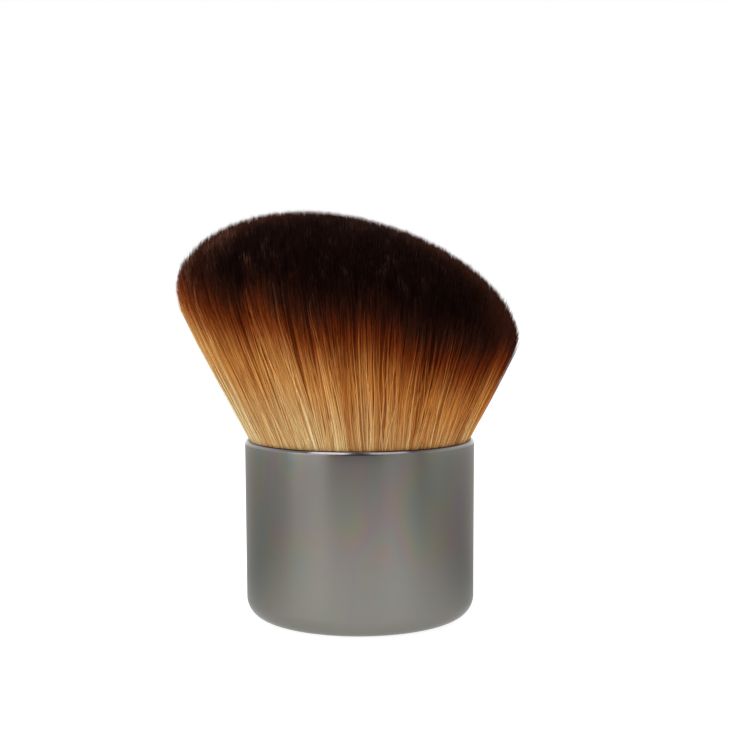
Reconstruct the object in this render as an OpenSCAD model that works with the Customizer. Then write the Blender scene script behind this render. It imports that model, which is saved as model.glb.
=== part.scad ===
// Kabuki makeup brush: a drawn metal cup that holds a fanned tuft with a slanted, domed crown.
// Millimetres. The cup stands on z = 0 and its axis is Z. The high side of the crown is at -X,
// and the side that faces the viewer is -Y.

/* [Cup] */
// Outside diameter of the cup
cup_d = 36; // [34:0.1:42]
// Height of the cup
cup_h = 27.8; // [26:0.1:36]
// Thickness of the cup's wall, which is also the width of its rounded lip
cup_wall = 0.8; // [0.6:0.05:1.2]
// Thickness of the cup's floor
cup_floor = 1; // [0.6:0.05:1.6]
// Outside radius of the corner between the wall and the floor
corner_r = 3.1; // [2:0.1:4]

/* [Weight] */
// Thickness of the steel disc that weighs the cup down
weight_t = 3; // [2:0.1:4]
// Diameter of the hole that centres the disc on the core
weight_bore = 6; // [4:0.1:9]
// Chamfer on the edges of the disc
weight_chamfer = 0.5; // [0.2:0.05:0.9]

/* [Core] */
// Thickness of the plate that the tuft sits on
core_plate = 1.6; // [1:0.1:2.4]
// Thickness of the skirt that stands inside the cup's wall
core_skirt = 1.2; // [0.8:0.05:2]
// Width of the shoulder round the peg, which bears on the disc
boss_shoulder = 1.6; // [1:0.1:2.5]
// Number of ribs from the boss to the skirt
rib_count = 6; // [3:1:10]
// Thickness of a rib
rib_t = 1.2; // [0.8:0.05:1.8]
// Diameter of the air vent through the core
vent_d = 2; // [1.2:0.1:2.8]

/* [Sleeve and bedding] */
// Distance from the cup's lip down to the top of the sleeve
sleeve_drop = 2.3; // [1.5:0.1:4]
// Height of the sleeve that the tuft is set in
sleeve_h = 11; // [9.5:0.1:12.5]
// Thickness of the sleeve
sleeve_wall = 0.4; // [0.3:0.05:0.6]
// Width of the flange turned in at the sleeve's foot
sleeve_flange = 1.6; // [1:0.1:3]
// Height of the crimp's middle above the sleeve's foot
crimp_rise = 3; // [2.2:0.1:3.4]
// Depth of the crimp, which grips the root block
crimp_depth = 0.5; // [0.2:0.05:0.7]
// Space for adhesive between the sleeve and the cup
glue_side = 0.5; // [0.4:0.05:0.8]
// Thickness of the adhesive under the sleeve
glue_bed = 0.6; // [0.4:0.05:1.2]
// Height that the adhesive climbs beside the sleeve
glue_climb = 4; // [2:0.1:7]
// Clearance between neighbouring pieces
fit_gap = 0.1; // [0.05:0.01:0.15]

/* [Root] */
// Thickness of the resin block that binds the roots
root_t = 5; // [4.8:0.1:6.5]
// Thickness of the slice of that block which carries the strands
slice_t = 0.8; // [0.5:0.05:1.2]

/* [Tuft] */
// Width of the tuft across its shoulders
head_w = 53.6; // [44:0.1:58]
// Depth of the tuft from front to back
head_depth = 47; // [40:0.1:54]
// Distance that the tuft's middle leans to the left of the cup's axis
head_lean = 1.8; // [0:0.1:4]
// Height of the shoulders above the cup's lip, at the tuft's middle
shoulder_h = 19.1; // [16:0.1:26]
// Slant of the shoulders and crown, in degrees
crown_slant = 9.1; // [0:0.1:12]
// Rise of the crown above the shoulders
crown_rise = 15.7; // [10:0.1:20]
// Number of strands
strand_count = 400; // [300:10:400]
// Least clearance between neighbouring strands at the root
strand_gap = 0.04; // [0.02:0.01:0.2]
// Length over which a strand tapers to its tip
taper_len = 3; // [2:0.1:6]
// Share by which the fan opens faster at its foot than a straight cone
fan_lead = 0.14; // [0:0.01:0.2]

/* [Hidden] */
$fn = 96;

// Radii, from the cup's wall inwards
cup_r = cup_d / 2;
lip_r = cup_wall / 2;
bore_r = cup_r - cup_wall;
inner_corner_r = corner_r - cup_wall;
floor_r = cup_r - corner_r;
weight_r = floor_r - fit_gap;
weight_bore_r = weight_bore / 2;
core_r = bore_r - fit_gap;
peg_r = weight_bore_r - fit_gap;
boss_r = weight_bore_r + boss_shoulder;
sleeve_r = bore_r - glue_side;
sleeve_bore_r = sleeve_r - sleeve_wall;
flange_bore_r = sleeve_bore_r - sleeve_flange;
pilot_r = flange_bore_r - fit_gap;
root_r = sleeve_bore_r - fit_gap;

// Heights, from the floor up and from the lip down
lip_z = cup_h - lip_r;
weight_top = cup_floor + weight_t;
sleeve_top = cup_h - sleeve_drop;
sleeve_foot = sleeve_top - sleeve_h;
core_top = sleeve_foot - glue_bed;
plate_foot = core_top - core_plate;
skirt_foot = max(weight_top, cup_floor + inner_corner_r + fit_gap);
root_foot = sleeve_foot + sleeve_wall;
root_top = root_foot + root_t;
slice_top = root_top + slice_t;
peg_foot = cup_floor + weight_chamfer;

// Strands: their seats lie on a sunflower spiral, which spreads them evenly over the root
golden_turn = 180 * (3 - sqrt(5));
// Distance between the closest seats of the spiral, as a share of its radius
closest_seats = 1.546 / sqrt(strand_count);
sides = 4;
corner_turn = 360 / sides;
tuft_r = root_r - fit_gap;
// Radius of a strand that leaves the gap between the closest seats and stays inside the tuft
strand_r = (closest_seats * tuft_r - strand_gap) / (2 + closest_seats);
seat_r = tuft_r - strand_r;
crown_rx = head_w / 2;
crown_ry = head_depth / 2;
crown_x = -head_lean;
crown_slope = -tan(crown_slant);
shoulder_z = cup_h + shoulder_h;
strand_growth = min(crown_rx, crown_ry) / seat_r - 1;
// Power that turns the fan upright again near the tips
fan_close = 8;
// Share of a strand's root that is sunk into its slice
sunk = 0.5;
strand_foot = slice_top - sunk * slice_t;

// Lowest place where a strand may bend and still clear the lip, if it moves sideways by reach on
// its way up to the height top
lip_room = bore_r - fit_gap - tuft_r;
function bend_below(reach, top) =
    let (k = (1 + fan_lead) * reach)
    k > lip_room ? (k * lip_z - lip_room * top) / (k - lip_room) : sleeve_top;

// The strands bend outwards above the sleeve, where the steepest of them just clears the lip
bend_z = max(
    sleeve_top + fit_gap,
    bend_below(crown_rx + crown_x - seat_r, shoulder_z + crown_slope * crown_rx),
    bend_below(crown_rx - crown_x - seat_r, shoulder_z - crown_slope * crown_rx),
    bend_below(crown_ry - seat_r, shoulder_z)
);

// Share of the way from root to tip that a strand has moved sideways, at a share u of its rise
function fan(u) = (1 + fan_lead) * u - fan_lead * pow(u, fan_close);

// Tip of the strand at share rho of the tuft's radius and at angle a: a point on the slanted dome
function tip(rho, a) = [
    crown_x + crown_rx * rho * cos(a),
    crown_ry * rho * sin(a),
    shoulder_z + crown_slope * crown_rx * rho * cos(a) + crown_rise * sqrt(1 - rho * rho)
];

// Root of the same strand, upright in the sleeve
function root(rho, a) = [seat_r * rho * cos(a), seat_r * rho * sin(a), bend_z];

// Middle of the strand at share u of its rise from the bend to the tip
function along(r0, t0, u) = [
    r0.x + (t0.x - r0.x) * fan(u),
    r0.y + (t0.y - r0.y) * fan(u),
    r0.z + (t0.z - r0.z) * u
];

// Corners of a level section of radius r round the point c, with one flat side facing out
function section(c, r, a) = [
    for (k = [0 : sides - 1]) c + r * [cos(a + corner_turn * (k + 0.5)), sin(a + corner_turn * (k + 0.5)), 0]
];

// Points of one strand: its foot, the bend, the section where its taper starts, and the tip
function strand_points(rho, a) =
    let (r0 = root(rho, a), t0 = tip(rho, a), u = 1 - taper_len / (t0.z - r0.z))
    concat(
        section([r0.x, r0.y, strand_foot], strand_r, a),
        section(r0, strand_r, a),
        section(along(r0, t0, u), strand_r * (1 + strand_growth * fan(u)), a),
        [t0]
    );

// Sections of a strand, and how many points it has with its tip
levels = 3;
strand_size = sides * levels + 1;

// Triangles of the strand whose first point is number n
function strand_faces(n) = concat(
    [for (k = [1 : sides - 2]) [n, n + k, n + k + 1]],
    [
        for (l = [0 : levels - 2], k = [0 : sides - 1])
            let (p = n + l * sides + k, q = n + l * sides + (k + 1) % sides)
            each [[p, p + sides, q], [q, p + sides, q + sides]]
    ],
    [
        for (k = [0 : sides - 1])
            let (p = n + (levels - 1) * sides)
            [p + k, n + strand_size - 1, p + (k + 1) % sides]
    ]
);

// Place of every strand, as its share of the tuft's radius and its angle
strand_seats = [for (i = [0 : strand_count - 1]) [sqrt((i + 0.5) / strand_count), golden_turn * i]];

// Drawn cup: straight wall, rounded lip, corner of constant wall
module cup_profile() {
    difference() {
        union() {
            square([floor_r, lip_z]);
            translate([0, corner_r]) square([cup_r, lip_z - corner_r]);
            translate([floor_r, corner_r]) circle(corner_r);
            translate([cup_r - lip_r, lip_z]) circle(lip_r);
        }
        translate([0, cup_floor + inner_corner_r]) square([bore_r, cup_h]);
        translate([0, cup_floor]) square([floor_r, cup_h]);
        translate([floor_r, cup_floor + inner_corner_r]) circle(inner_corner_r);
    }
}

module cup() {
    color([0.43, 0.43, 0.41]) rotate_extrude() cup_profile();
}

// Steel disc with chamfered edges, centred by the core's peg
module weight_disc() {
    color([0.55, 0.56, 0.58]) translate([0, 0, cup_floor]) rotate_extrude() polygon([
        [weight_bore_r, weight_chamfer],
        [weight_bore_r + weight_chamfer, 0],
        [weight_r - weight_chamfer, 0],
        [weight_r, weight_chamfer],
        [weight_r, weight_t - weight_chamfer],
        [weight_r - weight_chamfer, weight_t],
        [weight_bore_r + weight_chamfer, weight_t],
        [weight_bore_r, weight_t - weight_chamfer]
    ]);
}

// Ribs between the boss and the skirt, under the plate
module core_ribs() {
    for (i = [0 : rib_count - 1])
        rotate([0, 0, 360 * i / rib_count])
            translate([(peg_r + boss_r) / 2, -rib_t / 2, skirt_foot])
                cube([core_r - core_skirt / 2 - (peg_r + boss_r) / 2, rib_t, core_top - core_plate / 2 - skirt_foot]);
}

// Moulded core: a plate with a skirt, a boss with a peg below, and a pilot for the sleeve above
module core() {
    color([0.9, 0.89, 0.85]) difference() {
        union() {
            translate([0, 0, plate_foot]) cylinder(r = core_r, h = core_plate);
            translate([0, 0, core_top - core_plate / 2])
                cylinder(r = pilot_r, h = root_foot - core_top + core_plate / 2);
            translate([0, 0, skirt_foot]) difference() {
                cylinder(r = core_r, h = core_top - core_plate / 2 - skirt_foot);
                translate([0, 0, -fit_gap])
                    cylinder(r = core_r - core_skirt, h = core_top - skirt_foot);
            }
            translate([0, 0, weight_top]) cylinder(r = boss_r, h = core_top - core_plate / 2 - weight_top);
            translate([0, 0, peg_foot]) cylinder(r = peg_r, h = core_top - peg_foot - core_plate / 2);
            core_ribs();
        }
        translate([0, 0, cup_floor]) cylinder(d = vent_d, h = cup_h);
    }
}

// Adhesive bed under the sleeve, with the rim that is squeezed up beside it
module bedding_adhesive() {
    color([0.93, 0.86, 0.66]) rotate_extrude() polygon([
        [pilot_r + fit_gap, core_top],
        [bore_r - fit_gap, core_top],
        [bore_r - fit_gap, sleeve_foot + glue_climb],
        [sleeve_r + fit_gap, sleeve_foot + glue_climb],
        [sleeve_r + fit_gap, sleeve_foot],
        [pilot_r + fit_gap, sleeve_foot]
    ]);
}

// Outline of the sleeve's bore side at radius r, with the crimp pressed in
function crimped(r, foot, top) = [
    [r, foot],
    [r, sleeve_foot + crimp_rise - 2 * crimp_depth],
    [r - crimp_depth, sleeve_foot + crimp_rise - crimp_depth / 2],
    [r - crimp_depth, sleeve_foot + crimp_rise + crimp_depth / 2],
    [r, sleeve_foot + crimp_rise + 2 * crimp_depth],
    [r, top]
];

// The same points from the top down
function reversed(points) = [for (i = [len(points) - 1 : -1 : 0]) points[i]];

// Thin metal sleeve: turned-in flange at its foot, crimped round the root block
module tuft_sleeve() {
    color([0.8, 0.8, 0.82]) rotate_extrude() polygon(concat(
        [[flange_bore_r, root_foot], [flange_bore_r, sleeve_foot]],
        crimped(sleeve_r, sleeve_foot, sleeve_top),
        reversed(crimped(sleeve_bore_r, root_foot, sleeve_top))
    ));
}

// Resin block that binds the roots and fills the crimp
module root_block() {
    color([0.76, 0.6, 0.34]) rotate_extrude() polygon(concat(
        [[0, root_foot]],
        crimped(root_r, root_foot, root_top),
        [[0, root_top]]
    ));
}

// Tuft: strands fused to the top slice of the root block, upright in the sleeve, then fanned
module bristles() {
    color([0.72, 0.5, 0.26]) union() {
        translate([0, 0, root_top]) cylinder(r = root_r, h = slice_t);
        polyhedron(
            points = [for (s = strand_seats) each strand_points(s[0], s[1])],
            faces = [for (i = [0 : len(strand_seats) - 1]) each strand_faces(i * strand_size)]
        );
    }
}

cup();
weight_disc();
core();
bedding_adhesive();
tuft_sleeve();
root_block();
bristles();
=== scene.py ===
"""Finish of a kabuki makeup brush: a gunmetal cup with a fanned, slanted tuft of dyed filaments.

Everything is in metres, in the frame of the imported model. The cup stands on z = 0 and its axis
is Z. The high side of the tuft is at -X, and the viewer stands at -Y.
"""

from __future__ import annotations

import logging
import math
from collections.abc import Callable
from dataclasses import dataclass
from enum import Enum

import bpy
import numpy as np
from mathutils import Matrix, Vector


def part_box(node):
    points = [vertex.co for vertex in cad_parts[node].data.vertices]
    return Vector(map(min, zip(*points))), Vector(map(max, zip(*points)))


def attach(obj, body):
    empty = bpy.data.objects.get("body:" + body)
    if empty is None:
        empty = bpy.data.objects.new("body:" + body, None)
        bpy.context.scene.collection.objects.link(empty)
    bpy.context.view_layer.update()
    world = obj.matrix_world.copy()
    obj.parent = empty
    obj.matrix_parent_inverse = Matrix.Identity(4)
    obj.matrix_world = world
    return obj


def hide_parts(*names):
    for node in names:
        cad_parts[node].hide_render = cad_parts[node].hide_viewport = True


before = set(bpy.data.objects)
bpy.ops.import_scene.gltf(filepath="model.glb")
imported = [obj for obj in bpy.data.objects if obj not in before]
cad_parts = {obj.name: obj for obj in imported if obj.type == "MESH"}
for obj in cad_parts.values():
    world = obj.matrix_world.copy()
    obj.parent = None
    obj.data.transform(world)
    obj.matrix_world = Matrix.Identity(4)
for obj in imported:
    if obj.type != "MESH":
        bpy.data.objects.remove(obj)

MM = 0.001
TURN = 2 * math.pi
GOLDEN_TURN = math.pi * (3 - math.sqrt(5))
BODY = "root"
COLOUR_UV = "OFBake"

LIP_DEPTH = 0.4 * MM

Array = np.ndarray
Material = bpy.types.Material
Span = tuple[float, float]
Colour = tuple[float, float, float]
Stops = tuple[tuple[float, Colour], ...]
log = logging.getLogger("kabuki_brush")


def from_screen(red: int, green: int, blue: int) -> Colour:
    """Turns a screen colour of 0 to 255 into the linear colour that shaders take."""
    shares = (channel / 255 for channel in (red, green, blue))
    return tuple(s / 12.92 if s <= 0.04045 else ((s + 0.055) / 1.055) ** 2.4 for s in shares)


def screen_stops(*stops: tuple[float, int, int, int]) -> Stops:
    """Places on a ramp with their screen colours."""
    return tuple((place, from_screen(*colour)) for place, *colour in stops)


def share_of(value: Array, start: float, end: float) -> Array:
    """How far values have come on the way from start to end, held between 0 and 1."""
    return np.clip((value - start) / (end - start), 0.0, 1.0)


def eased(share: Array) -> Array:
    """Smooth rise of a share s from 0 to 1: 3 s^2 - 2 s^3."""
    return share * share * (3 - 2 * share)


def around(angle: Array) -> Array:
    """Level directions (cos a, sin a, 0) for some angles a."""
    return np.stack([np.cos(angle), np.sin(angle), 0 * angle], axis=-1)


def reach_of(seats: Array) -> Array:
    """Distance of places in the unit disc from its middle, in one column."""
    return np.linalg.norm(seats, axis=1, keepdims=True)


def operator(operation: str, swapped: bool = False) -> Callable[[Value, Value | float], Value]:
    """A method of Value that applies the operation to both values, second one first if swapped."""

    def method(self: Value, other: Value | float) -> Value:
        """The result for this value and the other."""
        return self.book.maths(operation, *((other, self) if swapped else (self, other)))

    return method


class Value:
    """Output socket of a shader node, whose arithmetic adds Math nodes to the same finish."""

    def __init__(self, book: NodeBook, socket: bpy.types.NodeSocket) -> None:
        """Keeps the socket and the tree that it belongs to."""
        self.book = book
        self.socket = socket

    __add__ = __radd__ = operator("ADD")
    __sub__ = operator("SUBTRACT")
    __rsub__ = operator("SUBTRACT", swapped=True)
    __mul__ = __rmul__ = operator("MULTIPLY")
    __truediv__ = operator("DIVIDE")
    __pow__ = operator("POWER")


class NodeBook:
    """Nodes of a material or of the studio's surroundings, written as values and expressions."""

    def __init__(self, tree: bpy.types.NodeTree) -> None:
        """Empties a node tree and keeps it."""
        self.tree = tree
        self.tree.nodes.clear()

    def node(self, kind: str, settings: dict | None = None, inputs: dict | None = None,
             out: str | int = 0) -> Value:
        """Adds a node.

        Args:
            kind: Blender's name of the node's type.
            settings: Properties that are set first.
            inputs: Values or links of its sockets, by identifier or name.
            out: The output that is returned, by identifier, name or number.

        Returns:
            The chosen output.
        """
        made = self.tree.nodes.new(kind)
        for name, value in (settings or {}).items():
            setattr(made, name, value)
        for name, value in (inputs or {}).items():
            self._feed(self._socket(made.inputs, name), value)
        return Value(self, self._socket(made.outputs, out))

    def maths(self, operation: str, *values: Value | float) -> Value:
        """Adds a Math node that applies the operation to the values in order."""
        return self.node("ShaderNodeMath", {"operation": operation}, dict(enumerate(values)))

    def mix(self, factor: Value | float, first: Value | Colour, second: Value | Colour,
            blend: str = "MIX") -> Value:
        """The first colour with a share, factor, of the second laid over it by the blend."""
        return self.node(
            "ShaderNodeMix",
            {"data_type": "RGBA", "blend_type": blend},
            {"Factor_Float": factor, "A_Color": first, "B_Color": second},
            "Result_Color",
        )

    def ramp(self, place: Value, stops: Stops) -> Value:
        """Colour of a ramp at a place from 0 to 1."""
        made = self.node("ShaderNodeValToRGB", {}, {"Fac": place})
        elements = made.socket.node.color_ramp.elements
        while len(elements) < len(stops):
            elements.new(1.0)
        for element, (spot, colour) in zip(elements, stops):
            element.position = spot
            element.color = (*colour, 1.0)
        return made

    def rise(self, value: Value, start: float, end: float) -> Value:
        """Smooth rise from 0 where the value is start to 1 where it is end."""
        return self.node(
            "ShaderNodeMapRange",
            {"interpolation_type": "SMOOTHSTEP"},
            {"Value": value, "From Min": start, "From Max": end},
        )

    def noise(self, place: Value, scale: float, detail: float = 2.0) -> Value:
        """Cloudy noise from 0 to 1 at a place, with scale clouds to the metre."""
        return self.node(
            "ShaderNodeTexNoise", {}, {"Vector": place, "Scale": scale, "Detail": detail}
        )

    def place(self) -> Value:
        """Place on the piece, in metres."""
        return self.node("ShaderNodeTexCoord", out="Object")

    def split(self, place: Value) -> tuple[Value, Value, Value]:
        """The three parts of a place."""
        made = self.node("ShaderNodeSeparateXYZ", {}, {"Vector": place}).socket.node
        return tuple(Value(self, socket) for socket in made.outputs)

    def stretched(self, place: Value, scale: tuple[float, float, float]) -> Value:
        """The place with each of its parts scaled."""
        return self.node("ShaderNodeMapping", {}, {"Vector": place, "Scale": scale})

    def bump(self, height: Value, depth: float) -> Value:
        """Normal of a surface with a relief that is depth metres high."""
        return self.node("ShaderNodeBump", {}, {"Height": height, "Distance": depth})

    def close(self, kind: str, shader: Value) -> None:
        """Ends the tree with an output node of that kind, fed by a shader."""
        self._feed(self.tree.nodes.new(kind).inputs["Surface"], shader)

    def _feed(self, socket: bpy.types.NodeSocket, value: Value | Colour | float) -> None:
        """Links a value to a socket, or sets a number or a colour on it."""
        if isinstance(value, Value):
            self.tree.links.new(value.socket, socket)
        elif socket.type == "RGBA":
            socket.default_value = (*value, 1.0)
        else:
            socket.default_value = value

    @staticmethod
    def _socket(sockets: bpy.types.bpy_prop_collection, name: str | int) -> bpy.types.NodeSocket:
        """The socket with that number, identifier or name."""
        if isinstance(name, int):
            return sockets[name]
        return next((s for s in sockets if s.identifier == name), None) or sockets[name]


class FinishBook(NodeBook):
    """Nodes of one material."""

    def __init__(self, name: str) -> None:
        """Starts an empty material of that name."""
        self.material = bpy.data.materials.new(name)
        self.material.use_nodes = True
        super().__init__(self.material.node_tree)

    def finish(self, **inputs: Value | Colour | float) -> Material:
        """Feeds the surface shader and returns the material.

        Args:
            inputs: Values of the shader's sockets, with _ for a space in their names.

        Returns:
            The finished material.
        """
        sockets = {name.replace("_", " "): value for name, value in inputs.items()}
        self.close("ShaderNodeOutputMaterial", self.node("ShaderNodeBsdfPrincipled", {}, sockets))
        return self.material


@dataclass(frozen=True)
class DrawnMetal:
    """Satin gunmetal under a thin clear lacquer: faint clouds, oil tints and turned rings below."""

    name: str = "gunmetal_lacquer"
    metal: Colour = from_screen(110, 110, 105)
    roughness: float = 0.27
    stretch: float = 0.35
    quarter_turn: float = 0.25
    edge: Colour = (0.85, 0.85, 0.85)
    rubbed: Colour = from_screen(120, 115, 119)
    rubbed_roughness: float = 0.19
    rubbed_depth: float = 0.42 * MM
    # Darker top of the lip: painted shade under the overhanging tuft.
    crest_shade: Colour = from_screen(80, 72, 68)
    crest_shade_depth: float = 0.17 * MM
    lip_fade: float = 0.05 * MM
    streak_scale: float = 220.0
    streak_stretch: Colour = (1.0, 1.0, 0.22)
    streak_roughness: float = 0.04
    film_scale: float = 170.0
    film_stretch: Colour = (1.0, 1.0, 0.4)
    film_tints: Stops = screen_stops(
        (0.32, 103, 110, 105), (0.42, 113, 111, 96), (0.5, 118, 106, 101),
        (0.56, 114, 105, 107), (0.64, 110, 110, 105), (0.72, 118, 106, 101),
    )
    film_rise: Span = (9 * MM, 15 * MM)
    film_share: float = 0.25
    cloud_scale: float = 55.0
    cloud_rise: Span = (0.35, 0.6)
    ring_pitch: float = 0.35 * MM
    ring_depth: float = 0.004 * MM
    grain_scale: float = 900.0
    grain_stretch: Colour = (1.0, 1.0, 30.0)
    grain_depth: float = 0.0006 * MM
    foot_height: float = 0.3 * MM
    foot_roughness: float = 0.06

    def material(self, height: float) -> Material:
        """Builds the finish of a cup of that height, rubbed bright below painted shade at the lip's
        top.
        """
        book = FinishBook(self.name)
        place = book.place()
        x, y, z = book.split(place)
        clouds = book.noise(place, self.cloud_scale)
        streaks = book.noise(book.stretched(place, self.streak_stretch), self.streak_scale)
        film = book.noise(book.stretched(place, self.film_stretch), self.film_scale, 1.0)
        upper = book.rise(z, *self.film_rise)
        patches = book.rise(clouds, *self.cloud_rise)
        share = self.film_share + (1 - self.film_share) * upper * patches
        colour = book.mix(share, self.metal, book.ramp(film, self.film_tints))
        radius = (x * x + y * y) ** 0.5
        foot = 1 - book.rise(z, 0.0, self.foot_height)
        rings = book.maths("SINE", radius * (TURN / self.ring_pitch)) * foot
        grain = book.noise(book.stretched(place, self.grain_stretch), self.grain_scale)
        relief = rings * (self.ring_depth / self.grain_depth) + grain
        lip = self.above(book, z, height - self.rubbed_depth)
        # Mask of the painted shade at the top of the lip.
        crest_shade = self.above(book, z, height - self.crest_shade_depth)
        satin = self.roughness + self.streak_roughness * streaks + self.foot_roughness * foot
        return book.finish(
            Base_Color=book.mix(crest_shade, book.mix(lip, colour, self.rubbed), self.crest_shade),
            Metallic=1.0,
            Roughness=satin + lip * (self.rubbed_roughness - satin),
            Anisotropic=self.stretch,
            Anisotropic_Rotation=self.quarter_turn,
            Specular_Tint=self.edge,
            Normal=book.bump(relief, self.grain_depth),
        )

    def above(self, book: NodeBook, z: Value, level: float) -> Value:
        """Mask that rises to 1 just over a level of the cup."""
        return book.rise(z, level, level + self.lip_fade)


@dataclass(frozen=True)
class TurnedSteel:
    """Bare mild steel: rings from the lathe and a little bloom of rust in patches."""

    name: str = "turned_steel"
    steel: Colour = from_screen(150, 152, 154)
    bloom: Colour = from_screen(124, 104, 88)
    ring_pitch: float = 0.25 * MM
    ring_depth: float = 0.005 * MM
    bloom_scale: float = 260.0
    bloom_rise: Span = (0.56, 0.75)
    bloom_share: float = 0.6
    bloom_dulling: float = 0.4

    def material(self) -> Material:
        """Builds the finish."""
        book = FinishBook(self.name)
        place = book.place()
        x, y, _ = book.split(place)
        radius = (x * x + y * y) ** 0.5
        rings = book.maths("SINE", radius * (TURN / self.ring_pitch))
        bloom = book.rise(book.noise(place, self.bloom_scale, 5.0), *self.bloom_rise)
        return book.finish(
            Base_Color=book.mix(self.bloom_share * bloom, self.steel, self.bloom),
            Metallic=1.0 - self.bloom_dulling * bloom,
            Roughness=0.36 + 0.25 * bloom,
            Normal=book.bump(rings, self.ring_depth),
        )


@dataclass(frozen=True)
class MouldedPlastic:
    """Unpainted moulding with a fine spark-eroded texture and faint flow marks."""

    name: str = "moulded_core"
    body: Colour = from_screen(226, 222, 210)
    flow: Colour = from_screen(214, 207, 190)
    flow_scale: float = 120.0
    flow_rise: Span = (0.4, 0.7)
    texture_scale: float = 4000.0
    texture_depth: float = 0.012 * MM

    def material(self) -> Material:
        """Builds the finish."""
        book = FinishBook(self.name)
        place = book.place()
        flow = book.rise(book.noise(place, self.flow_scale, 4.0), *self.flow_rise)
        texture = book.noise(place, self.texture_scale, 3.0)
        return book.finish(
            Base_Color=book.mix(flow, self.body, self.flow),
            Roughness=0.5 + 0.12 * texture,
            Normal=book.bump(texture, self.texture_depth),
        )


@dataclass(frozen=True)
class CastResin:
    """Amber resin or adhesive, with streaks in its colour and a lightly rippled skin."""

    name: str
    body: Colour
    streak: Colour
    fleck_scale: float
    fleck_share: float = 0.35
    fleck_rise: Span = (0.5, 0.2)
    streak_scale: float = 180.0
    streak_rise: Span = (0.42, 0.68)
    ripple_scale: float = 420.0
    ripple_depth: float = 0.03 * MM

    def material(self) -> Material:
        """Builds the finish."""
        book = FinishBook(self.name)
        place = book.place()
        streaks = book.rise(book.noise(place, self.streak_scale, 4.0), *self.streak_rise)
        flecks = book.node(
            "ShaderNodeTexVoronoi", {}, {"Vector": place, "Scale": self.fleck_scale}, "Distance"
        )
        colour = book.mix(streaks, self.body, self.streak)
        dots = self.fleck_share * book.rise(flecks, *self.fleck_rise)
        return book.finish(
            Base_Color=book.mix(dots, colour, self.streak, "MULTIPLY"),
            Roughness=0.18 + 0.16 * streaks,
            Normal=book.bump(book.noise(place, self.ripple_scale, 3.0), self.ripple_depth),
        )


@dataclass(frozen=True)
class DrawnSleeve:
    """Bright aluminium with the upright marks of the drawing die."""

    name: str = "drawn_aluminium"
    metal: Colour = from_screen(205, 206, 208)
    dull: Colour = from_screen(176, 177, 180)
    mark_scale: float = 2600.0
    mark_stretch: Colour = (1.0, 1.0, 0.03)
    mark_depth: float = 0.003 * MM
    mark_rise: Span = (0.4, 0.65)

    def material(self) -> Material:
        """Builds the finish."""
        book = FinishBook(self.name)
        place = book.stretched(book.place(), self.mark_stretch)
        marks = book.noise(place, self.mark_scale, 3.0)
        dulled = book.rise(marks, *self.mark_rise)
        return book.finish(
            Base_Color=book.mix(dulled, self.metal, self.dull),
            Metallic=1.0,
            Roughness=0.24 + 0.16 * marks,
            Normal=book.bump(marks, self.mark_depth),
        )


@dataclass(frozen=True)
class DyeScale:
    """How a filament's tone and its height over the dye line are laid out on its colour map.

    Tones are columns across the map, and the height runs up it.
    """

    columns: int = 64
    lowest: float = -34 * MM
    highest: float = 26 * MM
    side: float = 0.3
    margin: float = 0.002

    def across(self, tone: Array, share: Array) -> Array:
        """Place across the map of a tone from 0 to 1, at a share from -0.5 to 0.5 of its column."""
        column = np.minimum((tone * self.columns).astype(int), self.columns - 1)
        return (column + 0.5 + share) / self.columns

    def up(self, height: Array) -> Array:
        """Place up the map of a height over the dye line."""
        span = self.highest - self.lowest
        return np.clip((height - self.lowest) / span, self.margin, 1 - self.margin)


@dataclass(frozen=True)
class DyeStage:
    """Colours of one stage of the dye by tone, and the heights in mm over which it comes in."""

    start: float
    end: float
    stops: Stops


@dataclass(frozen=True)
class DyedFilament:
    """Golden filaments that are dyed dark brown towards the tips, each with a tone of its own."""

    scale: DyeScale
    name: str = "dyed_filament"
    roughness: float = 0.42
    tone_roughness: float = 0.1
    gloss: float = 0.02
    # Faint glow in the filaments' own colour: painted light for light passing through them.
    glow: float = 0.18
    pale: Stops = screen_stops(
        (0.0, 126, 70, 32), (0.2, 164, 108, 58), (0.5, 192, 152, 97), (0.75, 205, 178, 127),
        (1.0, 220, 207, 168),
    )
    golden: DyeStage = DyeStage(-16.0, -4.5, screen_stops(
        (0.0, 100, 44, 13), (0.2, 154, 86, 32), (0.5, 189, 123, 56), (0.8, 206, 154, 86),
        (1.0, 222, 190, 130),
    ))
    amber: DyeStage = DyeStage(-7.0, 1.0, screen_stops(
        (0.0, 56, 16, 5), (0.4, 112, 42, 11), (0.8, 148, 68, 22), (1.0, 178, 104, 50),
    ))
    brown: DyeStage = DyeStage(-1.5, 5.0, screen_stops(
        (0.0, 34, 14, 8), (0.5, 49, 22, 13), (0.85, 60, 30, 19), (1.0, 124, 84, 66),
    ))
    dark: DyeStage = DyeStage(3.5, 9.0, screen_stops(
        (0.0, 14, 5, 3), (0.5, 20, 7, 5), (0.85, 27, 11, 8), (1.0, 112, 76, 62),
    ))

    def material(self) -> Material:
        """Builds the finish: colour depends on the tone and on the height over the dye line."""
        book = FinishBook(self.name)
        across, up, _ = book.split(book.node("ShaderNodeUVMap", {"uv_map": COLOUR_UV}))
        tone = (book.maths("FLOOR", across * self.scale.columns) + 0.5) / self.scale.columns
        span = self.scale.highest - self.scale.lowest
        height = up * (span / MM) + self.scale.lowest / MM
        colour = book.ramp(tone, self.pale)
        for stage in (self.golden, self.amber, self.brown, self.dark):
            share = book.rise(height, stage.start, stage.end)
            colour = book.mix(share, colour, book.ramp(tone, stage.stops))
        return book.finish(
            Base_Color=colour,
            Roughness=self.roughness + self.tone_roughness * tone,
            Specular_IOR_Level=self.gloss,
            # Painted light: the filaments glow faintly in their own colour, lifting the shade
            # between them.
            Emission_Color=colour,
            Emission_Strength=self.glow,
        )


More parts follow.
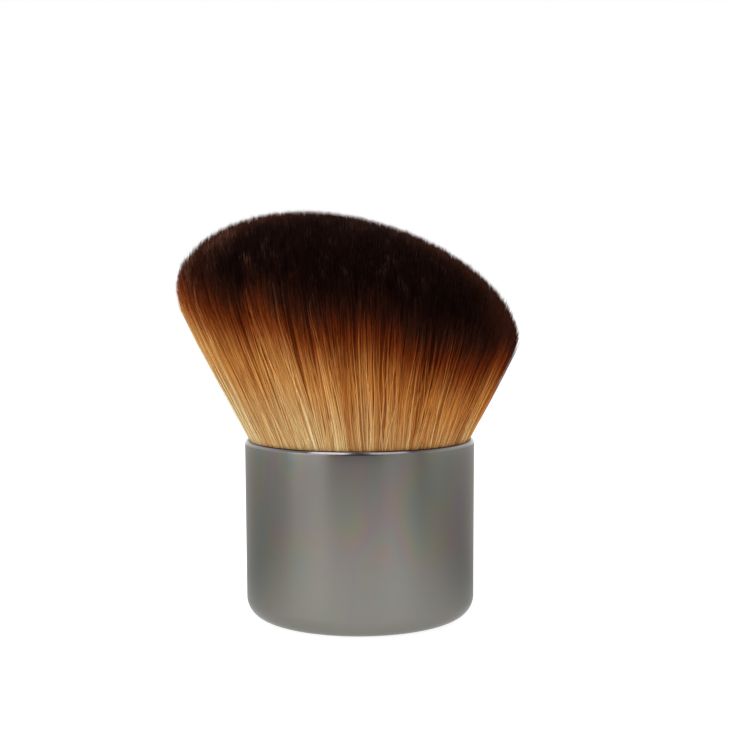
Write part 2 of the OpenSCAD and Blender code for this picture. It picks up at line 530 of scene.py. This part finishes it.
@dataclass(frozen=True)
class StudioTable:
    """Plain white table of the studio, with a pool of light in front of the brush."""

    name: str = "studio_table"
    white: Colour = (0.4, 0.4, 0.4)
    glow: float = 0.86
    edge: Colour = (0.18, 0.18, 0.18)
    pool: Colour = (1.36, 1.36, 1.36)
    pool_y: float = -75 * MM
    pool_reach: float = 110 * MM
    pool_core: float = 33 * MM

    def material(self) -> Material:
        """Builds the finish."""
        book = FinishBook(self.name)
        x, y, _ = book.split(book.place())
        away = (x * x + (y - self.pool_y) ** 2) ** 0.5
        light = book.mix(book.rise(away, self.pool_reach, self.pool_core), self.edge, self.pool)
        seen = book.node("ShaderNodeLightPath", out="Is Camera Ray")
        return book.finish(
            Base_Color=self.white,
            Roughness=0.9,
            Specular_IOR_Level=0.1,
            Emission_Color=book.mix(seen, light, (self.glow,) * 3),
            Emission_Strength=1.0,
        )


def make_object(name: str, points: Array, faces: list[Array],
                uv: Array | None = None) -> bpy.types.Object:
    """Puts whole arrays of points and faces into a smooth-shaded mesh object at the origin.

    Args:
        name: Name of the object.
        points: Places of its points, one row each.
        faces: Arrays of faces, each with the same number of corners in its rows.
        uv: Place of each point on the colour map, if the piece has one.

    Returns:
        The new object.
    """
    mesh = bpy.data.meshes.new(name)
    corners = np.concatenate([group.ravel() for group in faces]).astype(np.int32)
    sizes = np.concatenate([np.full(len(group), group.shape[1]) for group in faces])
    starts = np.concatenate([[0], np.cumsum(sizes)[:-1]]).astype(np.int32)
    mesh.vertices.add(len(points))
    mesh.vertices.foreach_set("co", points.astype(np.float32).ravel())
    mesh.loops.add(len(corners))
    mesh.loops.foreach_set("vertex_index", corners)
    mesh.polygons.add(len(starts))
    mesh.polygons.foreach_set("loop_start", starts)
    mesh.polygons.foreach_set("use_smooth", np.ones(len(starts), bool))
    if uv is not None:
        layer = mesh.uv_layers.new(name=COLOUR_UV)
        layer.data.foreach_set("uv", uv[corners].astype(np.float32).ravel())
    mesh.update(calc_edges=True)
    mesh.validate()
    made = bpy.data.objects.new(name, mesh)
    bpy.context.scene.collection.objects.link(made)
    return made


def lathe(name: str, radii: Array, heights: Array, steps: int) -> bpy.types.Object:
    """Turns a closed outline round the Z axis.

    The point at share s of the outline and angle a is (r(s) cos a, r(s) sin a, z(s)). The
    outline starts and ends on the axis, where each end is one point, and has its solid side on
    its left as it is followed.

    Args:
        name: Name of the object.
        radii: Radii along the outline, 0 at both ends.
        heights: Heights along the outline.
        steps: Number of steps round the axis.

    Returns:
        The turned piece.
    """
    ring = around(TURN * np.arange(steps) / steps)[:, :2]
    rows = len(radii) - 2
    wall = np.empty((rows, steps, 3))
    wall[:, :, :2] = radii[1:-1, None, None] * ring
    wall[:, :, 2] = heights[1:-1, None]
    poles = np.array([[0, 0, heights[0]], [0, 0, heights[-1]]])
    points = np.concatenate([wall.reshape(-1, 3), poles])
    here = np.arange(steps)
    ahead = (here + 1) % steps
    row = steps * np.arange(rows - 1)[:, None]
    quads = np.stack([row + here, row + ahead, row + steps + ahead, row + steps + here], axis=-1)
    first, last = rows * steps, rows * steps + 1
    top = steps * (rows - 1)
    low_fan = np.stack([np.full(steps, first), ahead, here], axis=-1)
    high_fan = np.stack([top + here, top + ahead, np.full(steps, last)], axis=-1)
    return make_object(name, points, [quads.reshape(-1, 4), low_fan, high_fan])


def arc(centre: Span, radius: float, start: float, end: float,
        steps: int) -> Array:
    """Points of an arc, centre + radius * (cos a, sin a), with a from start to end in degrees."""
    angle = np.radians(np.linspace(start, end, steps + 1))
    return np.array(centre) + radius * around(angle)[:, :2]


def line(start: Span, end: Span, steps: int) -> Array:
    """Inner points of a straight stretch of an outline, without its two ends."""
    share = np.linspace(0.0, 1.0, steps + 1)[1:-1, None]
    return (1 - share) * np.array(start) + share * np.array(end)


def wear(piece: bpy.types.Object, material: Material) -> None:
    """Gives a piece its one material."""
    piece.data.materials.clear()
    piece.data.materials.append(material)


@dataclass
class Cup:
    """Drawn metal cup with a rounded lip and a rounded corner round its floor."""

    radius: float
    height: float
    wall: float = 0.8 * MM
    floor: float = 1.0 * MM
    corner: float = 3.1 * MM
    draft: float = 0.12 * MM
    bend: float = 0.5 * MM
    facet: float = 0.22 * MM
    facet_tilt: float = 27.0
    steps_round: int = 288
    finish: DrawnMetal = DrawnMetal()

    def outline(self) -> Array:
        """Outline from the middle of the underside, up the outside, and down to the floor.

        The wall bends in to a narrow facet under the lip, and the lip is rounded.
        """
        tilt = math.radians(self.facet_tilt)
        facet_radius = self.radius - self.bend * (1 - math.cos(tilt)) - self.facet * math.sin(tilt)
        lip = (facet_radius - self.radius + self.wall) / (1 + math.cos(tilt))
        facet_rise = self.facet * math.cos(tilt)
        lip_z = self.height - lip
        bend_z = lip_z + lip * math.sin(tilt) - facet_rise - self.bend * math.sin(tilt)
        inner_corner = self.corner - self.wall
        foot_radius = self.radius - self.draft
        sole_radius = foot_radius - self.corner
        floor_radius = self.radius - self.corner
        bore = self.radius - self.wall
        inner_z = self.floor + inner_corner
        return np.concatenate([
            [(0.0, 0.0)],
            line((0.0, 0.0), (sole_radius, 0.0), 12),
            arc((sole_radius, self.corner), self.corner, -90, 0, 20),
            line((foot_radius, self.corner), (self.radius, bend_z), 16),
            arc((self.radius - self.bend, bend_z), self.bend, 0, self.facet_tilt, 6),
            arc((bore + lip, lip_z), lip, self.facet_tilt, 180, 16),
            line((bore, lip_z), (bore, inner_z), 12),
            arc((floor_radius, inner_z), inner_corner, 0, -90, 12),
            line((floor_radius, self.floor), (0.0, self.floor), 8),
            [(0.0, self.floor)],
        ])

    def build(self) -> bpy.types.Object:
        """Turns the cup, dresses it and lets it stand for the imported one."""
        outline = self.outline()
        cup = lathe("satin_cup", outline[:, 0], outline[:, 1], self.steps_round)
        wear(cup, self.finish.material(self.height))
        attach(cup, BODY)
        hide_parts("cup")
        log.info("%s: %d faces", cup.name, len(cup.data.polygons))
        return cup


class Coat(Enum):
    """Coats of the tuft, with the shares of the rise from lip to tip where filaments bend.

    Those of the outer coat also bend at the sleeve's mouth.
    """

    OUTER = (0.06, 0.2, 0.42, 0.66, 0.88, 0.98, 1.0)
    INNER = (0.5, 0.97, 1.0)

    @property
    def shares(self) -> Array:
        """Shares of the rise, ending in 1."""
        return np.array(self.value)


@dataclass(frozen=True)
class Crown:
    """Crown of the tuft: half an ellipsoid, sheared along the slant and leaning to the left."""

    half_width: float = 26.8 * MM
    half_depth: float = 23.4 * MM
    lean: float = 1.73 * MM
    shoulder_z: float = 47.27 * MM
    slope: float = -0.174
    curl: float = 0.5 * MM
    rise: float = 15.75 * MM
    fullness: float = 0.53

    def places(self, seats: Array) -> Array:
        """Places on the crown.

        The height is shoulder + slope * x + curl * (x / half width)^3 + rise * (1 - r^2)^fullness.

        Args:
            seats: Places in the unit disc.

        Returns:
            One place in space for each.
        """
        seats = seats / np.maximum(reach_of(seats), 1.0)
        across = self.half_width * seats[:, 0]
        dome = np.maximum(1 - np.sum(seats**2, axis=1), 0.0) ** self.fullness
        slant = self.slope * across + self.curl * seats[:, 0] ** 3
        height = self.shoulder_z + slant + self.rise * dome
        return np.stack([across - self.lean, self.half_depth * seats[:, 1], height], axis=-1)


@dataclass(frozen=True)
class DyeRun:
    """How far the dye has run down the tuft and how dark it gets, with painted shade and light.

    Each wave has its number round the tuft, its size and its turn in degrees.
    """

    line_z: float = 42.9 * MM
    slope: float = -0.215
    waves: tuple[tuple[int, float, float], ...] = (
        (5, 0.9 * MM, 19.0), (8, 0.8 * MM, 73.0), (12, 0.7 * MM, -7.0),
    )
    broad_clump: float = 0.11
    broad_size: float = 1.6 * MM
    fine_clump: float = 0.04
    fine_size: float = 2.0 * MM
    spread: float = 0.9 * MM
    lift: float = 2.2 * MM
    lift_from: float = 0.88
    # Drop of the dye's edge deep inside the tuft: painted shade where no light reaches the pale
    # hair.
    inside: float = 14 * MM
    inner_shade_rise: Span = (0.9, 0.7)
    depth: float = 4.2 * MM
    # Paler filaments at the tuft's outline: painted light for light shining through the tips.
    outline_light_rise: Span = (0.45, 0.95)
    ridge_reach: float = 0.65
    ridge_slant: float = 0.4
    ridge_share: float = 0.8

    def edge(self, seats: Array) -> Array:
        """How far up the dye's edge is moved at each seat.

        The dye has run in waves round the tuft and less far down its high side. Inside the tuft the
        edge is moved lower as painted shade, where no light reaches the pale hair.
        """
        angle = np.arctan2(seats[:, 1], seats[:, 0])
        wave = sum(
            size * np.cos(count * (angle + math.radians(turn)))
            for count, size, turn in self.waves
        )
        lift = self.lift * share_of(-seats[:, 0], self.lift_from, 1.0) ** 2
        # Painted shade: the dye's edge is moved down deep inside the tuft.
        hidden = share_of(reach_of(seats)[:, 0], *self.inner_shade_rise)
        return wave + lift - self.inside * hidden

    def limit(self, seats: Array) -> Array:
        """Height over the dye line past which a filament gets no darker.

        It is three times the dye's depth and falls to the depth itself at the tuft's left and
        right, and part of the way along the crown's ridge between them. The paler outline that this
        gives is painted light, for light that shines through the tips there.
        """
        away = np.abs(seats)
        side = share_of(away[:, 0], *self.outline_light_rise)
        ridge = self.ridge_reach + self.ridge_slant * away[:, 0] - away[:, 1]
        share = np.maximum(side, self.ridge_share * share_of(ridge, 0.0, self.ridge_reach))
        return self.depth * (3 - 2 * eased(share))


@dataclass(frozen=True)
class Grooming:
    """How filaments are drawn together into points, lean, bow, wave and stray.

    Clumps are sized as shares of the tuft's radius.
    """

    jitter: float = 0.45
    point_clump: float = 0.036
    point_step: float = 0.32 * MM
    pull: Span = (0.1, 0.45)
    rim_hold: float = 0.7
    shortness: float = 0.45 * MM
    tip_move: float = 0.2 * MM
    tip_move_along: float = 0.25 * MM
    tip_hold: float = 0.85
    lean_clump: float = 0.05
    lean: float = 2.6 * MM
    lean_power: int = 6
    stray_share: float = 0.025
    stray_lean: float = 2.0 * MM
    bow_clump: float = 0.045
    bow: float = 1.0 * MM
    bow_spread: float = 0.1
    lead: float = 0.08
    lead_slope: float = -0.03
    lead_power: int = 12
    wave: float = 0.14 * MM
    wave_along: float = 0.1 * MM
    wave_hold: float = 0.75
    wave_angle: float = 7.0


@dataclass(frozen=True)
class ToneMix:
    """How tones from 0 to 1 differ: by small clumps, by large ones, and one by one."""

    fine_clump: float = 0.024
    fine: float = 0.441
    broad_clump: float = 0.07
    broad: float = 0.378
    own: float = 0.126
    # Paler tones towards the tuft's left and right: painted light along its outline.
    side_light: float = 0.2
    slope: float = -0.06
    lowest: float = 0.06
    span: float = 0.92
    streak_share: float = 0.05
    streak_tone: float = 0.45
    # Pale tones at the points: painted light where light passes through them.
    point: float = 0.85
    point_span: float = 0.09


@dataclass
class Tuft:
    """Fanned tuft of tapered filaments with a slanted, domed crown.

    A filament stands upright on the root block, widens out to the cup's lip and fans from there
    to its tip. Its seat and its tip share their place in a unit disc.
    """

    foot_z: float
    sleeve_z: float
    lip_z: float
    crown: Crown = Crown()
    dye: DyeRun = DyeRun()
    grooming: Grooming = Grooming()
    tone_mix: ToneMix = ToneMix()
    scale: DyeScale = DyeScale()
    filaments: int = 60_000
    locks: int = 9
    seed: int = 20
    seat_radius: float = 16.05 * MM
    lip_radius: float = 17.08 * MM
    rim_share: float = 0.93
    core_reach: float = 0.3
    thickness: float = 0.13 * MM
    thickness_spread: float = 0.15
    swell: float = 0.12
    taper: float = 0.75
    taper_power: int = 5

    def __post_init__(self) -> None:
        """Seeds the random draws."""
        self.random = np.random.default_rng(self.seed)

    def seats(self) -> Array:
        """Places in the unit disc: filament i at radius sqrt((i + 0.5) / n), angle i * golden turn.

        Returns:
            One row of x and y for each filament, each moved a little at random.
        """
        index = np.arange(self.filaments)
        radius = np.sqrt((index + 0.5) / self.filaments)
        seats = radius[:, None] * around(index * GOLDEN_TURN)[:, :2]
        jitter = self.grooming.jitter / math.sqrt(self.filaments)
        seats += self.random.normal(0.0, jitter, seats.shape)
        return seats / np.maximum(reach_of(seats), 1.0)

    def clumps(self, seats: Array, size: float) -> tuple[Array, Array]:
        """Finds the clump that each filament belongs to.

        Each square of a grid holds one clump at a random place, and a filament joins the
        nearest of the nine clumps in its own square and round it.

        Args:
            seats: Places in the unit disc.
            size: Side of a square, as a share of the disc's radius.

        Returns:
            The place of each filament's clump, and a number from 0 to 1 that the clump shares.
        """
        side = math.ceil(2 / size) + 4
        cell = np.floor((seats + 1) / size).astype(int) + 2
        column, row = np.meshgrid(np.arange(side), np.arange(side), indexing="ij")
        corners = np.stack([column, row], axis=-1)
        centres = (corners - 2 + self.random.random(corners.shape)) * size - 1
        shared = self.random.random((side, side))
        near = np.stack(np.meshgrid([-1, 0, 1], [-1, 0, 1], indexing="ij"), -1).reshape(-1, 2)
        around_cell = cell[:, None, :] + near
        distance = np.linalg.norm(
            centres[around_cell[..., 0], around_cell[..., 1]] - seats[:, None, :], axis=-1
        )
        chosen = around_cell[np.arange(len(seats)), distance.argmin(axis=1)]
        return centres[chosen[:, 0], chosen[:, 1]], shared[chosen[:, 0], chosen[:, 1]]

    def tips(self, seats: Array) -> Array:
        """Tips drawn together into small points, each a little longer or shorter than the rest.

        Neighbours lean to one side together, by a turn round the crown that leaves them as far
        from its middle, and a few strays near the side lean far more.
        """
        ways = self.grooming
        count = len(seats)
        point, point_share = self.clumps(seats, ways.point_clump)
        pull = self.random.uniform(*ways.pull, (count, 1))
        pull = pull * (1 - ways.rim_hold * self.rim(seats))
        moved = self.strayed(seats, ways.tip_move, ways.tip_move_along, ways.tip_hold)
        _, side_share = self.clumps(seats, ways.lean_clump)
        stray = self.random.random(count) < ways.stray_share
        lean = ways.lean * (side_share - 0.5)
        lean += np.where(stray, self.random.normal(0.0, ways.stray_lean, count), 0.0)
        aim = seats + pull * (point - seats)
        held = reach_of(aim)
        turn = (lean / self.crown.half_width)[:, None] * held**ways.lean_power
        turned = aim + turn * self.beside(seats)
        turned *= held / np.maximum(reach_of(turned), 1e-6)
        tips = self.crown.places(turned)
        tips[:, :2] += moved
        way = tips - self.lips(seats)
        short = self.random.exponential(ways.shortness, count)
        short -= ways.point_step * (point_share - 0.5)
        return tips - way * (short / np.linalg.norm(way, axis=1))[:, None]

    def lips(self, seats: Array) -> Array:
        """Places where the filaments pass the cup's lip."""
        return np.hstack([self.lip_radius * seats, np.full((len(seats), 1), self.lip_z)])

    def beside(self, seats: Array) -> Array:
        """Level way along the tuft's side at each seat, which fades out at the middle."""
        reach = np.maximum(reach_of(seats), self.core_reach)
        return np.stack([-seats[:, 1], seats[:, 0]], axis=-1) / reach

    def bows(self, seats: Array) -> Array:
        """How far the middle of each filament bows along the tuft's side, alike in a clump."""
        _, shared = self.clumps(seats, self.grooming.bow_clump)
        own = self.random.normal(0.0, self.grooming.bow_spread, len(seats))
        return self.grooming.bow * (shared - 0.5 + own)

    def rim(self, seats: Array) -> Array:
        """How near each filament is to the tuft's side: 0 inside, rising to 1 at the side."""
        return eased(share_of(reach_of(seats), self.rim_share, 1.0))

    def strayed(self, seats: Array, inside: float, along: float, hold: float) -> Array:
        """Random level moves, which at the tuft's side go along it and hardly in or out.

        Args:
            seats: Places in the unit disc.
            inside: Typical move in each direction inside the tuft.
            along: Typical move along the side that is added there.
            hold: How far moves in or out are held back at the side.

        Returns:
            One move of x and y for each filament.
        """
        rim = self.rim(seats)
        outward = seats / np.maximum(reach_of(seats), 1e-6)
        beside = np.stack([-outward[:, 1], outward[:, 0]], axis=-1)
        draw = self.random.normal(0.0, 1.0, (len(seats), 2))
        out = inside * (1 - hold * rim) * draw[:, :1]
        return out * outward + (inside + along * rim) * draw[:, 1:] * beside

    def paths(self, seats: Array, tips: Array, bows: Array,
              coat: Coat) -> Array:
        """Middle lines of filaments: foot, sleeve's mouth, lip, and shares of the way to the tip.

        At share u of the rise from the lip, a filament has moved w(u) of the way sideways, with
        w(u) = (1 + lead) u - lead u^12, so the fan opens faster at its foot than a straight cone.
        A bow along the side and a slow wave, both 0 at the ends, keep neighbours from being
        parallel.

        Args:
            seats: Places in the unit disc.
            tips: Tips of the same filaments.
            bows: How far they bow along the tuft's side.
            coat: The coat that they belong to.

        Returns:
            An array of filaments by levels by 3.
        """
        ways = self.grooming
        upright = np.ones((len(seats), 1))
        foot = np.hstack([self.seat_radius * seats, self.foot_z * upright])
        mouth = np.hstack([self.seat_radius * seats, self.sleeve_z * upright])
        lip = self.lips(seats)
        lead = (ways.lead + ways.lead_slope * seats[:, :1])[:, :, None]
        u = coat.shares[None, :, None]
        sideways = (1 + lead) * u - lead * u**ways.lead_power
        way = (tips - lip)[:, None, :]
        fan = lip[:, None, :] + way * np.concatenate([sideways, sideways, u + 0 * lead], axis=-1)
        size = self.strayed(seats, ways.wave, ways.wave_along, ways.wave_hold)[:, None, :]
        phase = self.random.uniform(0.0, TURN, (len(seats), 1, 1))
        bow = bows[:, None, None] * self.beside(seats)[:, None, :]
        fan[:, :, :2] += np.sin(math.pi * u) * (size * np.sin(ways.wave_angle * u + phase) + bow)
        low = [foot, mouth, lip] if coat is Coat.OUTER else [foot, lip]
        return np.concatenate([np.stack(low, axis=1), fan], axis=1)

    def tones(self, seats: Array) -> Array:
        """Tone of each filament; those at the tuft's left and right are paler, as painted light."""
        mix = self.tone_mix
        _, fine = self.clumps(seats, mix.fine_clump)
        _, broad = self.clumps(seats, mix.broad_clump)
        own = self.random.random(len(seats))
        tone = 0.5 + mix.fine * (fine - 0.5) + mix.broad * (broad - 0.5) + mix.own * (own - 0.5)
        # Painted light: tones grow paler towards the tuft's left and right.
        tone += mix.side_light * seats[:, 0] ** 4 + mix.slope * seats[:, 0]
        streak = self.random.random(len(seats)) < mix.streak_share
        mixed = np.where(streak, mix.streak_tone * tone, mix.lowest + mix.span * tone)
        return np.clip(mixed, 0.0, 0.999)

    def dye_edge(self, seats: Array) -> Array:
        """How far up the dye's edge is moved on each filament, unevenly from clump to clump."""
        _, broad = self.clumps(seats, self.dye.broad_clump)
        _, fine = self.clumps(seats, self.dye.fine_clump)
        clumped = self.dye.broad_size * (broad - 0.5) + self.dye.fine_size * (fine - 0.5)
        own = self.random.normal(0.0, self.dye.spread, len(seats))
        # The edge from the dye run also holds painted shade deep inside the tuft.
        return self.dye.edge(seats) + clumped + own

    def build(self) -> list[bpy.types.Object]:
        """Builds the tuft as locks of filaments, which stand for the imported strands."""
        material = DyedFilament(self.scale).material()
        seats = self.seats()
        tips = self.tips(seats)
        tones = self.tones(seats)
        edges = self.dye_edge(seats)
        limits = self.dye.limit(seats)
        bows = self.bows(seats)
        outer = reach_of(seats)[:, 0] > self.rim_share
        order = np.argsort(np.arctan2(seats[:, 1], seats[:, 0]), kind="stable")
        locks = []
        for number, members in enumerate(np.array_split(order, self.locks), start=1):
            parts = []
            for coat in Coat:
                group = members[outer[members] == (coat is Coat.OUTER)]
                path = self.paths(seats[group], tips[group], bows[group], coat)
                thick = self.thickness * (1 + self.swell * self.rim(seats[group]))
                dye = (edges[group], limits[group])
                parts.append(self.sweep(path, thick, tones[group], dye))
            locks.append(self.lock(f"tuft_lock_{number}", parts, material))
        return locks

    def sweep(self, path: Array, thick: Array, tone: Array,
              dye: tuple[Array, Array]) -> tuple[Array, list[Array], Array]:
        """Carries a small triangle along each middle line and closes it to a point at the tip.

        Corner k of level j is path(j) + radius(j) * (cos a, sin a, 0) where a is the turn plus k
        thirds of a whole turn.

        Args:
            path: Middle lines, filaments by levels by 3; the last level is the tip.
            thick: Thickness of each filament.
            tone: Tone of each filament; its point is pale, because light passes through it.
            dye: How far up each filament's dye line is moved, with painted shade inside the tuft,
                and
            the height over it past which the filament gets no darker, with painted light at its
            outline.

        Returns:
            Points, faces and places on the colour map.
        """
        count, levels = len(path), path.shape[1] - 1
        rise = path[:, :levels, 2] - self.lip_z
        length = path[:, levels:, 2] - self.lip_z
        taper = 1 - self.taper * np.clip(rise / length, 0.0, 1.0) ** self.taper_power
        spread = self.thickness_spread
        radius = thick / 2 * taper * self.random.uniform(1 - spread, 1 + spread, (count, 1))
        turn = self.random.uniform(0.0, TURN, (count, 1))
        ring = around(turn + TURN * np.arange(3) / 3)
        body = path[:, :levels, None, :] + radius[:, :, None, None] * ring[:, None]
        points = np.concatenate([body.reshape(count, -1, 3), path[:, levels:]], axis=1)
        edge, limit = dye
        height = path[:, :, 2] - self.dye.line_z - self.dye.slope * path[:, :, 0] - edge[:, None]
        height = np.minimum(height, limit[:, None])
        up = np.concatenate([np.repeat(height[:, :levels], 3, axis=1), height[:, levels:]], axis=1)
        share = np.append(np.tile([-self.scale.side, 0.0, self.scale.side], levels), 0.0)
        shade = np.repeat(tone[:, None], 3 * levels + 1, axis=1)
        # Pale points: painted light where light passes through the thin tips.
        shade[:, -1] = self.tone_mix.point + self.tone_mix.point_span * tone
        across = self.scale.across(shade, share[None, :])
        uv = np.stack([across, self.scale.up(up)], axis=-1)
        side = np.arange(3)
        beside = (side + 1) % 3
        level = 3 * np.arange(levels - 1)[:, None]
        quads = np.stack([level + side, level + beside, level + 3 + beside, level + 3 + side], -1)
        top = 3 * (levels - 1)
        tip = np.stack([top + side, top + beside, np.full(3, 3 * levels)], axis=-1)
        ends = np.concatenate([[[0, 2, 1]], tip])
        start = (3 * levels + 1) * np.arange(count)[:, None, None]
        faces = [(start + quads.reshape(-1, 4)).reshape(-1, 4), (start + ends).reshape(-1, 3)]
        return points.reshape(-1, 3), faces, uv.reshape(-1, 2)

    def lock(self, name: str, parts: list[tuple], material: Material) -> bpy.types.Object:
        """Joins groups of filaments into one piece and fits it to the body."""
        shift = len(parts[0][0])
        faces = parts[0][1] + [group + shift for group in parts[1][1]]
        points = np.concatenate([part[0] for part in parts])
        uv = np.concatenate([part[2] for part in parts])
        lock = make_object(name, points, faces, uv)
        wear(lock, material)
        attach(lock, BODY)
        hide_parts("bristles")
        triangles = sum(len(group) * (group.shape[1] - 2) for group in faces)
        log.info("%s: %d triangles", name, triangles)
        return lock


InnerFinish = TurnedSteel | MouldedPlastic | DrawnSleeve | CastResin


@dataclass
class InnerParts:
    """Sealed pieces inside the cup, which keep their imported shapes, with the finish of each."""

    finishes: tuple[tuple[str, InnerFinish], ...] = (
        ("weight_disc", TurnedSteel()),
        ("core", MouldedPlastic()),
        ("tuft_sleeve", DrawnSleeve()),
        ("bedding_adhesive", CastResin(
            "bedding_adhesive", from_screen(226, 206, 158), from_screen(206, 176, 118), 90.0
        )),
        ("root_block", CastResin(
            "root_resin", from_screen(176, 128, 66), from_screen(126, 78, 34), 2600.0
        )),
    )

    def dress(self) -> None:
        """Gives each inner piece its finish."""
        for name, finish in self.finishes:
            wear(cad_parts[name], finish.material())
            log.info("%s: %s", name, finish.name)


@dataclass(frozen=True)
class SoftBox:
    """Soft box that faces the brush.

    Its turn is in degrees to the right of the viewer, as the brush sees it, its lift in degrees
    above the floor, its width, height and distance in metres and its power in watts.
    """

    name: str
    turn: float
    lift: float
    size: Span
    power: float
    distance: float = 0.8

    def place(self, target: Vector) -> None:
        """Sets the box up, hidden from the camera and facing its target."""
        data = bpy.data.lights.new(self.name, "AREA")
        data.shape = "RECTANGLE"
        data.size, data.size_y = self.size
        data.energy = self.power
        box = bpy.data.objects.new(self.name, data)
        turn, lift = math.radians(self.turn), math.radians(self.lift)
        level = math.cos(lift)
        way = Vector((math.sin(turn) * level, -math.cos(turn) * level, math.sin(lift)))
        box.location = target + self.distance * way
        box.rotation_euler = way.to_track_quat("Z", "Y").to_euler()
        box.visible_camera = False
        bpy.context.scene.collection.objects.link(box)


@dataclass
class Studio:
    """Plain floor, soft boxes and the camera at the photograph's angle.

    Seen from the brush, the room is dark in front, pale at the walls and dim overhead.
    """

    camera_y: float = -214.7 * MM
    camera_z: float = 52.4 * MM
    pitch: float = 3.6
    roll: float = 0.25
    focal_share: float = 1369.5 / 735
    shift: float = 0.0117
    sensor: float = 36.0
    floor_radius: float = 0.3
    floor_steps: int = 96
    front_light: float = 0.03
    wall_light: float = 1.5
    sky_light: float = 0.25
    sky_rise: Span = (0.3, 0.8)
    back_rise: Span = (-0.6, -0.2)
    target: Vector = Vector((0.0, 0.0, 35 * MM))
    boxes: tuple[SoftBox, ...] = (
        SoftBox("left_box", -51, 12, (0.56, 0.6), 2.6),
        SoftBox("right_box", 40, 12, (0.5, 0.6), 1.0),
        SoftBox("left_strip", -37, 48, (0.45, 0.3), 1.7),
        SoftBox("right_strip", 35, 48, (0.45, 0.3), 1.0),
        SoftBox("top_box", -20, 78, (0.6, 0.5), 2.6),
    )

    def camera(self) -> None:
        """Places the camera."""
        data = bpy.data.cameras.new("camera")
        data.sensor_width = self.sensor
        data.lens = self.focal_share * self.sensor
        data.shift_x = self.shift
        data.clip_start = 0.01
        data.clip_end = 20.0
        camera = bpy.data.objects.new("camera", data)
        camera.location = (0.0, self.camera_y, self.camera_z)
        camera.rotation_euler = (math.radians(90 - self.pitch), math.radians(self.roll), 0.0)
        bpy.context.scene.collection.objects.link(camera)
        bpy.context.scene.camera = camera

    def floor(self) -> None:
        """Lays the floor: a level disc."""
        steps = self.floor_steps
        here = np.arange(steps)
        ring = around(TURN * here / steps) * self.floor_radius
        points = np.concatenate([ring, [[0.0, 0.0, 0.0]]])
        fan = np.stack([here, (here + 1) % steps, np.full(steps, steps)], axis=-1)
        floor = make_object("studio_floor", points, [fan])
        wear(floor, StudioTable().material())

    def light(self) -> None:
        """Lights the room evenly and adds the soft boxes."""
        world = bpy.data.worlds.new("studio_room")
        world.use_nodes = True
        book = NodeBook(world.node_tree)
        _, depth, lift = book.split(book.node("ShaderNodeTexCoord", out="Generated"))
        sky = book.rise(lift, *self.sky_rise)
        walls = self.wall_light + (self.sky_light - self.wall_light) * sky
        back = book.rise(depth, *self.back_rise)
        room = self.front_light + (walls - self.front_light) * back
        seen = book.node("ShaderNodeLightPath", out="Is Camera Ray")
        strength = room + seen * (1 - room)
        book.close("ShaderNodeOutputWorld", book.node(
            "ShaderNodeBackground", {}, {"Color": (1.0, 1.0, 1.0), "Strength": strength}
        ))
        bpy.context.scene.world = world
        for box in self.boxes:
            box.place(self.target)
        bpy.context.scene.view_settings.view_transform = "Standard"

    def build(self) -> None:
        """Sets up the studio."""
        self.camera()
        self.floor()
        self.light()
        log.info("studio: camera, floor and lights")


def main() -> None:
    """Builds the brush and its studio."""
    logging.basicConfig(level=logging.INFO, format="%(name)s %(message)s")
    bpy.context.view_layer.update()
    cup_low, cup_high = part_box("cup")
    Studio().build()
    Cup(radius=(cup_high.x - cup_low.x) / 2, height=cup_high.z).build()
    InnerParts().dress()
    root_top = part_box("root_block")[1].z
    sleeve_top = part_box("tuft_sleeve")[1].z
    Tuft(foot_z=root_top, sleeve_z=sleeve_top, lip_z=cup_high.z - LIP_DEPTH).build()


if __name__ == "__main__":
    main()
